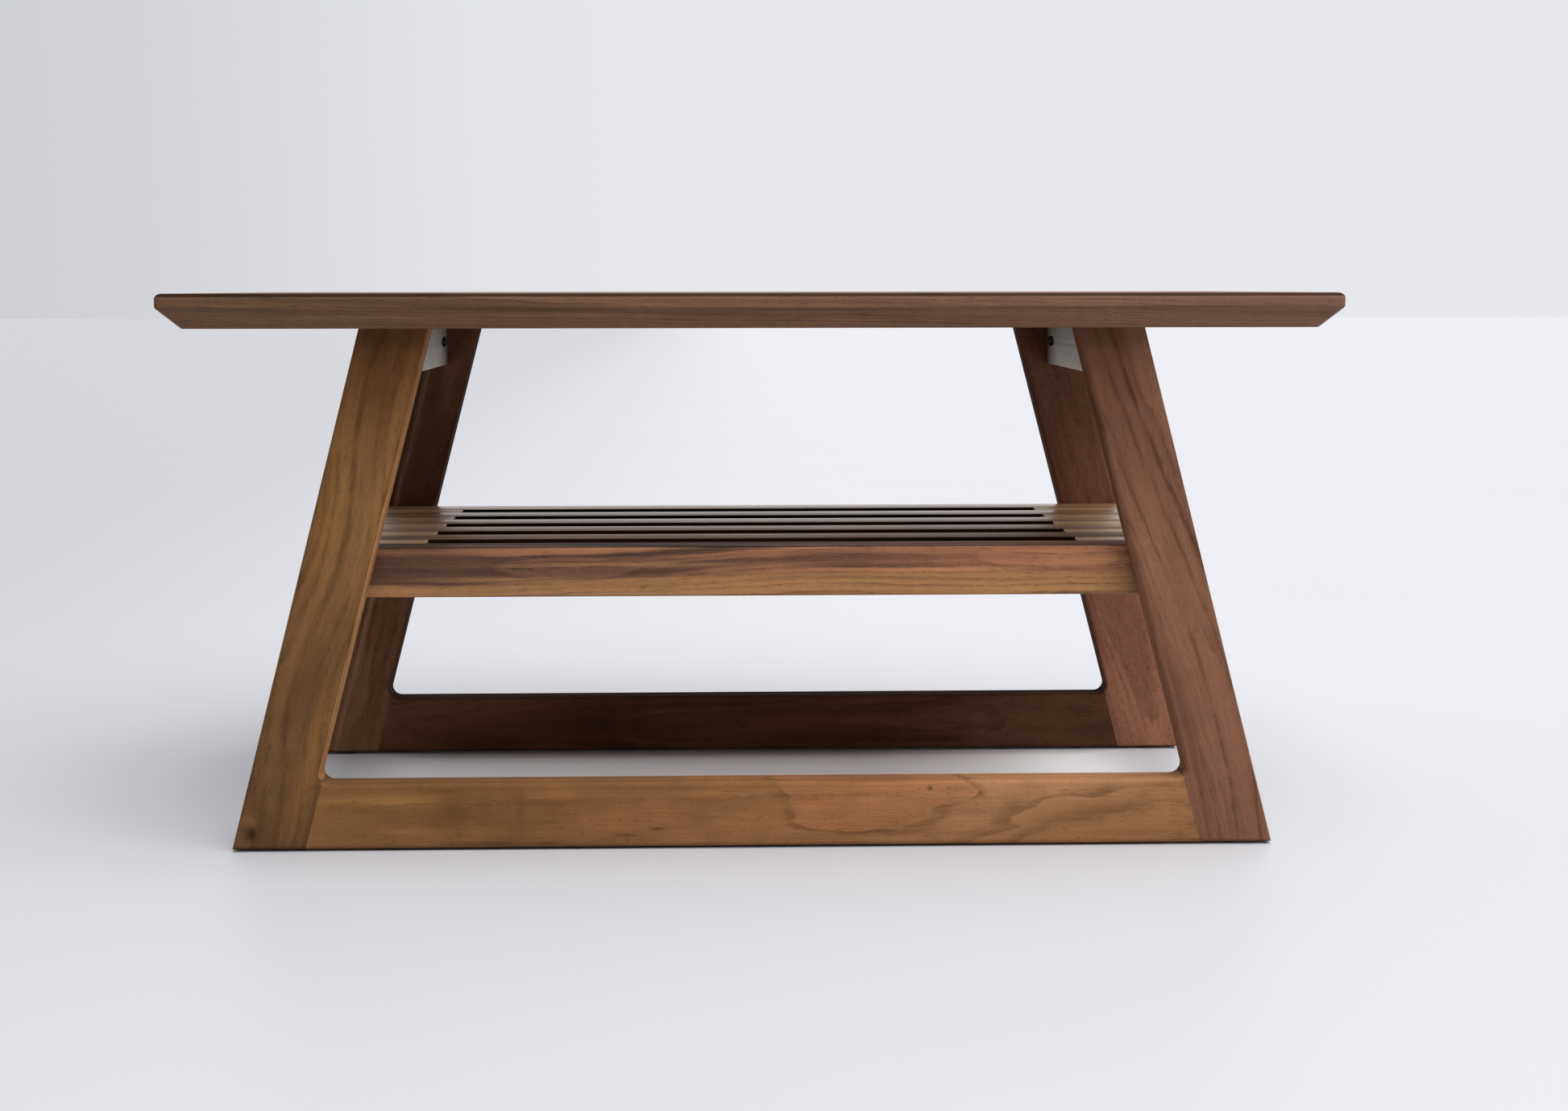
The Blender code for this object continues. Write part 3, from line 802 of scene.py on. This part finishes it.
class FrameShape:
    """Outlines of one frame's boards in X and Z, worked out from its CAD nodes."""

    def __init__(self, place):
        low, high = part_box(f"{place}_right_leg")
        self.bottom, self.top = low.z, high.z
        self.y0, self.y1 = low.y, high.y
        self.foot = high.x
        points = [v.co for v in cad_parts[f"{place}_right_leg"].data.vertices]
        self.leg_width = self.outer(self.top) - min(p.x for p in points if p.z > self.top - EASED)
        # The rail's highest point is where the inside corner's arc crosses the glue line
        turn = RAKE - math.acos(1 - JOINT_SETBACK * math.cos(RAKE) / FILLET_RADIUS)
        self.rail_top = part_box(f"{place}_bottom_rail")[1].z - FILLET_RADIUS * (1 + math.sin(turn))

    def outer(self, z):
        return self.foot - math.tan(RAKE) * (z - self.bottom)

    def inner(self, z):
        return self.outer(z) - self.leg_width

    def joint(self, z):
        return self.inner(z) - JOINT_SETBACK

    def fillet(self):
        """Inside corner's arc as two lists that meet on the glue line: the rail's and the leg's."""
        centre_z = self.rail_top + FILLET_RADIUS
        centre_x = self.inner(centre_z) - FILLET_RADIUS / math.cos(RAKE)
        arc = []
        for i in range(ARC_STEPS + 1):
            a = -math.pi / 2 + (RAKE + math.pi / 2) * i / ARC_STEPS
            arc.append((centre_x + FILLET_RADIUS * math.cos(a), centre_z + FILLET_RADIUS * math.sin(a)))
        for i, (a, b) in enumerate(zip(arc, arc[1:])):
            before, after = a[0] - self.joint(a[1]), b[0] - self.joint(b[1])
            if before < 0.0 <= after:
                t = before / (before - after)
                meet = (a[0] + t * (b[0] - a[0]), a[1] + t * (b[1] - a[1]))
                return arc[: i + 1] + [meet], [meet] + arc[i + 1:]

    def leg_outline(self, side):
        arc = self.fillet()[1]
        points = [(self.joint(self.bottom), self.bottom), (self.outer(self.bottom), self.bottom)]
        points += [(self.outer(self.top), self.top), (self.inner(self.top), self.top)]
        points += reversed(arc)
        sides = [1, 1, 0, 1] + [1] * (len(arc) - 1) + [0]
        if side > 0:
            return points, sides
        turned = list(reversed(sides))
        return [(-x, z) for x, z in reversed(points)], turned[1:] + turned[:1]

    def rail_outline(self):
        arc = self.fillet()[0]
        arc = arc[:-1] + [(arc[-1][0] - GLUE_GAP, arc[-1][1])]
        end = self.joint(self.bottom) - GLUE_GAP
        points = [(-end, self.bottom), (end, self.bottom)] + list(reversed(arc)) + [(-x, z) for x, z in arc]
        return points, [1, 0] + [1] * (2 * len(arc) - 1) + [0]

    def board(self, name, outline, material):
        points, sides = outline
        bm = loft(board_rings(points, sides, self.y0, self.y1))
        return finished(f"walnut_{name}", bm, material, [name])


def leg(place, hand, side, material):
    shape = FrameShape(place)
    return shape.board(f"{place}_{hand}_leg", shape.leg_outline(side), material)


def bottom_rail(place, material):
    shape = FrameShape(place)
    return shape.board(f"{place}_bottom_rail", shape.rail_outline(), material)


# -------------------- top and shelf

def eased_corner(before, corner, after, radius, steps=3):
    """Points round a profile's corner, with a support point on each side."""
    b, c, a = Vector(before), Vector(corner), Vector(after)
    start, end = (b - c).normalized(), (a - c).normalized()
    points = [c + start * (radius + SUPPORT)]
    for i in range(steps + 1):
        t = i / steps
        points.append(c + start * radius * (1 - t) ** 2 + end * radius * t ** 2)
    return points + [c + end * (radius + SUPPORT)]


def tabletop(material):
    low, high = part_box("tabletop")
    half_x, half_y = high.x, high.y
    crest = low.z + TOP_BEVEL
    corners = [(TOP_BEVEL * 2, low.z), (TOP_BEVEL, low.z), (0.0, crest), (0.0, high.z)]
    profile = eased_corner(*corners[0:3], EASED) + eased_corner(*corners[1:4], EASED)
    for depth, inset in reversed(round_profile(TOP_ROUND, 8)):
        profile.append(Vector((inset, high.z - depth)))
    rings = []
    for inset, z in profile:
        plan = rounded_rectangle(half_x - inset, half_y - inset, TOP_CORNER, 6)
        rings.append([(x, y, z) for x, y in plan])
    return finished("walnut_tabletop", loft(rings), material, ["tabletop"])


def bar_ends(low, high, inner):
    """A shelf bar's two ends from left to right, each with its outward sign and whether it is raked."""
    if inner is None:
        return (-high.x, -1, True), (high.x, 1, True)
    if inner > 0:
        return (inner, -1, False), (high.x, 1, True)
    return (low.x, -1, True), (inner, 1, False)


def shelf_bar(node, material, inner=None):
    """Slat or end block with eased arrises. Its outer ends follow the rake of the legs."""
    low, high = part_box(node)
    middle = (low + high) / 2
    half_y, half_z = (high.y - low.y) / 2, (high.z - low.z) / 2
    if inner is None:
        half_y += GLUE_GAP

    def ring(end, sign, raked, depth, inset):
        radius = max(SLAT_ROUND - inset, 0.0004)
        points = []
        for y, z in rounded_rectangle(half_y - inset, half_z - inset, radius, 4):
            x = end - sign * math.tan(RAKE) * (z + half_z) if raked else end
            points.append((x - sign * depth, middle.y + y, middle.z + z))
        return points

    left, right = bar_ends(low, high, inner)
    profile = round_profile(EASED, 3)
    rings = [ring(*left, depth, inset) for depth, inset in profile]
    rings += [ring(*right, depth, inset) for depth, inset in reversed(profile)]
    return finished(f"walnut_{node}", loft(rings), material, [node])


def shelf(front_material, slat_material, block_material):
    for i in range(1, 7):
        shelf_bar(f"shelf_slat_{i}", front_material if i == 1 else slat_material)
    for hand, side in SIDES:
        for i in range(1, 6):
            low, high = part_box(f"shelf_spacer_{hand}_{i}")
            inner = low.x if side > 0 else high.x
            shelf_bar(f"shelf_spacer_{hand}_{i}", block_material, inner)


# -------------------- cross rails, screws and pads

def cutter(profile, origin, direction):
    """Tool that a Boolean takes out of a rail. It leaves the second material on what it cuts."""
    name = "hole"
    bm = lathe(profile, origin, direction, HOLE_SIDES)
    mesh = bpy.data.meshes.new(name)
    bmesh.ops.recalc_face_normals(bm, faces=bm.faces)
    for face in bm.faces:
        face.material_index = 1
    bm.to_mesh(mesh)
    bm.free()
    return added(name, mesh)


def stepped_hole(seat, direction, wide, narrow):
    """Cutter for a screw: the wide part before the seat, the clearance hole after it."""
    profile = [(-wide, 0), (-wide, POCKET_RADIUS)]
    profile += [(-HOLE_ROUNDING, POCKET_RADIUS), (0, POCKET_RADIUS - HOLE_ROUNDING)]
    profile += [(0, SCREW_HOLE_RADIUS), (narrow, SCREW_HOLE_RADIUS), (narrow, 0)]
    return cutter(profile, seat, direction)


def rail_rings(low, high):
    """Rings along a pale rail, front to back, with eased arrises."""
    middle = (low + high) / 2
    half_x, half_y, half_z = (high - low) / 2
    profile = round_profile(EASED, 3)
    rings = []
    for sign, pairs in ((-1, profile), (1, reversed(profile))):
        for depth, inset in pairs:
            radius = EASED + 0.0002 - inset * 0.5
            section = rounded_rectangle(half_x - inset, half_z - inset, radius, 3)
            rings.append([(middle.x + x, sign * (half_y - depth), middle.z + z) for x, z in section])
    return rings


def rail_holes(hand, side, low, high):
    """Cutters for a pale rail: three counterbored holes from below and a pocket hole at each end."""
    holes = []
    for i in (1, 2, 3):
        screw_low, screw_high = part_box(f"top_screw_{hand}_{i}")
        seat = Vector(((low.x + high.x) / 2, (screw_low.y + screw_high.y) / 2, low.z + COUNTERBORE_DEPTH))
        holes.append(stepped_hole(seat, (0, 0, 1), *COUNTERBORE_REACH))
    for end in (-1, 1):
        direction, seat = pocket_line(side, end)
        holes.append(stepped_hole(seat, direction, *POCKET_REACH))
    return holes


def cross_rail(hand, side, material, bare):
    """Painted rail with its two pocket holes and three counterbored holes cut into it."""
    node = f"{hand}_top_rail"
    low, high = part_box(node)
    rail = finished(f"painted_{node}", loft(rail_rings(low, high)), material, [node])
    rail.data.materials.append(bare)
    holes = rail_holes(hand, side, low, high)
    for hole in holes:
        cut = rail.modifiers.new("hole", "BOOLEAN")
        cut.operation = "DIFFERENCE"
        cut.solver = "EXACT"
        cut.object = hole
    bpy.context.view_layer.update()
    evaluated = rail.evaluated_get(bpy.context.evaluated_depsgraph_get())
    made = bpy.data.meshes.new_from_object(evaluated)
    rail.modifiers.clear()
    rail.data = made
    made.shade_smooth()
    made.set_sharp_from_angle(angle=math.radians(30))
    for hole in holes:
        bpy.data.objects.remove(hole)
    return rail


def pocket_line(side, end):
    """Direction of a pocket screw, and the point where its head sits."""
    rail_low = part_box("right_top_rail")[0]
    leg_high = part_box("front_right_leg")[1]
    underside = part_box("tabletop")[0].z
    direction = Vector((side * math.sin(POCKET_ANGLE), end * math.cos(POCKET_ANGLE), 0))
    leave_x = side * (rail_low.x + POCKET_EXIT_DEPTH)
    leave = Vector((leave_x, end * -leg_high.y, underside - POCKET_BELOW_TOP))
    return direction, leave - direction * POCKET_SEAT


def square(half):
    """Radius of a square ring at each angle."""
    return lambda angle: half / max(abs(math.cos(angle)), abs(math.sin(angle)))


def thread(along, grow):
    """Radius of a ring through a helical thread, which rises to its full height as grow goes to 1."""
    def radius(angle):
        turn = (along / THREAD_PITCH - angle / (2 * math.pi)) % 1.0
        crest = max(0.0, 1 - abs(turn - 0.5) / 0.28)
        return SCREW_CORE + (SCREW_CREST - SCREW_CORE) * crest * grow

    return radius


def screw_profile(length):
    """Rings of a screw from its drive to its tip: distance from the head's seat, and radius."""
    h, r = HEAD_HEIGHT, HEAD_RADIUS
    rings = [
        (-h * 0.3, square(0.0011)),
        (-h * 0.96, square(0.00125)),
        (-h, square(0.0014)),
        (-h, plain(r * 0.58)),
        (-h * 0.9, plain(r * 0.66)),
        (-h * 0.5, plain(r * 0.7)),
        (-h * 0.4, plain(r * 0.95)),
        (-h * 0.25, plain(r)),
        (-h * 0.05, plain(r)),
        (0, plain(r * 0.96)),
        (0, plain(SCREW_CORE * 1.15)),
    ]
    neck, tip = length * 0.28, length * 0.9
    rings.append((neck, plain(SCREW_CORE * 1.1)))
    steps = round((tip - neck) / THREAD_PITCH * THREAD_STEPS)
    for k in range(1, steps + 1):
        along = neck + (tip - neck) * k / steps
        rings.append((along, thread(along, min(1.0, k / THREAD_STEPS))))
    return rings + [(length * 0.97, plain(SCREW_CORE * 0.45)), (length, plain(SCREW_CORE * 0.06))]


def screw(name, node, seat, direction, length, material):
    """Washer-head wood screw with a square drive, a smooth neck and a real helical thread."""
    rings = []
    for along, radius_at in screw_profile(length):
        rings.append(turned_ring(seat, direction, along, radius_at, SCREW_SIDES))
    return finished(name, loft(rings), material, [node], sharp=50)


def screws(material):
    for hand, side in SIDES:
        for i in (1, 2, 3):
            node = f"top_screw_{hand}_{i}"
            low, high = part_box(node)
            seat = Vector(((low.x + high.x) / 2, (low.y + high.y) / 2, low.z + HEAD_HEIGHT))
            screw(f"threaded_{node}", node, seat, (0, 0, 1), high.z - seat.z, material)
        for place, end in (("front", -1), ("back", 1)):
            node = f"pocket_screw_{place}_{hand}"
            direction, seat = pocket_line(side, end)
            seat = seat - direction * HEAD_GAP
            screw(f"threaded_{node}", node, seat, direction, POCKET_SCREW_LENGTH, material)


def pad(node, material):
    """Felt disc with a soft lower edge."""
    low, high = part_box(node)
    radius, thick = (high.x - low.x) / 2, high.z - low.z
    soft = thick * 0.45
    profile = [(0, 0), (0, radius - soft)]
    for i in range(1, 5):
        a = math.pi / 2 * i / 4
        profile.append((soft * (1 - math.cos(a)), radius - soft * (1 - math.sin(a))))
    profile += [(thick, radius), (thick, 0)]
    centre = ((low.x + high.x) / 2, (low.y + high.y) / 2, low.z)
    bm = lathe(profile, centre, (0, 0, 1), PAD_SIDES)
    return finished(f"soft_{node}", bm, material, [node])


# -------------------- the table

def board_centre(node):
    low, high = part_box(node)
    return tuple((low + high) / 2)


def frames():
    """Front and back frame. Each leg and each rail is its own board."""
    turns = {"left": RAKE - math.pi / 2, "right": -RAKE - math.pi / 2}
    boards = {
        "front_left": (golden_figure(), left_inner_side),
        "front_right": (ruddy_figure(), right_inner_side),
        "back_left": (smoked_figure(), narrow_sides),
        "back_right": (rippled_figure(), narrow_sides),
    }
    for place in PLACES:
        for hand, side in SIDES:
            figure, tint = boards[f"{place}_{hand}"]
            centre = board_centre(f"{place}_{hand}_leg")
            leg(place, hand, side, walnut(f"walnut_leg_{place}_{hand}", centre, turns[hand], figure, tint))
    for place, figure, tint in (("front", rail_figure(), None), ("back", dusky_figure(), narrow_sides)):
        centre = board_centre(f"{place}_bottom_rail")
        bottom_rail(place, walnut(f"walnut_rail_{place}", centre, 0.0, figure, tint))


def slatted_shelf():
    front = walnut("walnut_slat_front", board_centre("shelf_slat_1"), 0.0, front_slat_figure(), slat_tint)
    slats = walnut("walnut_slats", board_centre("shelf_slat_3"), 0.0, shelf_figure(), slat_tint)
    blocks = walnut("walnut_blocks", board_centre("shelf_slat_4"), 0.0, block_figure())
    shelf(front, slats, blocks)


def cross_rails():
    white = paint("white_paint")
    bore = walnut("raw_bore", (0.0, 0.0, 0.0), math.pi / 2, bore_figure())
    for hand, side in SIDES:
        cross_rail(hand, side, white, bore)


def foot_pads():
    soft = felt("dark_felt")
    for place in PLACES:
        for hand, _ in SIDES:
            pad(f"foot_pad_{place}_{hand}", soft)


def hidden_joinery():
    """Bare beech on the CAD's own loose tenons and dowels."""
    bare = beech("bare_beech")
    for name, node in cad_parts.items():
        if name.startswith(("rail_tenon", "shelf_dowel")):
            node.data.materials.clear()
            node.data.materials.append(bare)


def build_table():
    tabletop(walnut("walnut_top", board_centre("tabletop"), 0.0, top_figure(), rim))
    frames()
    slatted_shelf()
    cross_rails()
    screws(screw_steel("zinc_steel"))
    foot_pads()
    hidden_joinery()


# -------------------- stage, light and camera

def floor():
    """Pale floor, a little darker to the left, and lighter where the table shades it."""
    n = Nodes(bpy.data.materials.new("pale_floor"))
    place = n.add("TexCoord", {}).outputs["Object"]
    x, y, _ = n.separate(place)
    cloud = n.noise(place, scale=1.3, detail=3.0).outputs["Fac"]
    side = n.smooth(x, -1.3, 0.3)
    colour = n.mix(cloud, rgb(188, 189, 194), rgb(191, 192, 197))
    colour = n.mix(side, rgb(168, 169, 174), colour)
    edge = n.math("MAXIMUM", n.times(n.math("ABSOLUTE", x), 0.45), n.math("ABSOLUTE", y))
    colour = n.mix(n.smooth(edge, 0.135, 0.175, 1.0, 0.0), colour, rgb(252, 250, 253))
    mesh = bpy.data.meshes.new("floor")
    corners = [Vector((x, y, 0)) * FLOOR_HALF_SIZE for x, y in ((-1, -1), (1, -1), (1, 1), (-1, 1))]
    mesh.from_pydata(corners, [], [(0, 1, 2, 3)])
    obj = added("floor", mesh)
    mesh.materials.append(n.finish(colour, 0.5))


def soft_sun(name, source, angle, power, colour):
    """Sun lamp whose light comes from a direction. The angle is how wide it looks, in degrees."""
    data = bpy.data.lights.new(name, "SUN")
    data.angle = math.radians(angle)
    data.energy = power
    data.color = colour
    obj = added(name, data)
    obj.rotation_euler = Vector(source).to_track_quat("Z", "Y").to_euler()


def surroundings():
    """Pale room: brighter behind the table than in front, and a little darker to the left."""
    world = bpy.data.worlds.new("studio")
    bpy.context.scene.world = world
    n = Nodes(world)
    x, y, _ = n.separate(n.add("TexCoord", {}).outputs["Generated"])
    depth = n.smooth(y, -0.8, 0.25, 0.3, 0.84)
    side = n.smooth(x, -0.4, 0.0, 0.74, 1.0)
    background = n.tree.nodes["Background"]
    background.inputs["Color"].default_value = (0.955, 0.965, 1.0, 1.0)
    n.put(background.inputs["Strength"], n.times(depth, side))


def lights():
    surroundings()
    soft_sun("ceiling", (0.26, -0.42, 0.87), 68, 4.1, (1.0, 0.985, 0.965))


def camera():
    data = bpy.data.cameras.new("camera")
    data.sensor_width = SENSOR_WIDTH
    data.lens = CAMERA_LENS
    obj = added("camera", data)
    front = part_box("front_left_leg")[0].y
    obj.location = (CAMERA_X, front - CAMERA_DISTANCE, CAMERA_HEIGHT)
    obj.rotation_euler = (math.pi / 2 + CAMERA_TILT, CAMERA_ROLL, CAMERA_TURN)
    data.clip_start, data.clip_end = 0.05, 100
    bpy.context.scene.camera = obj


build_table()
floor()
lights()
camera()
bpy.context.scene.view_settings.view_transform = "Standard"
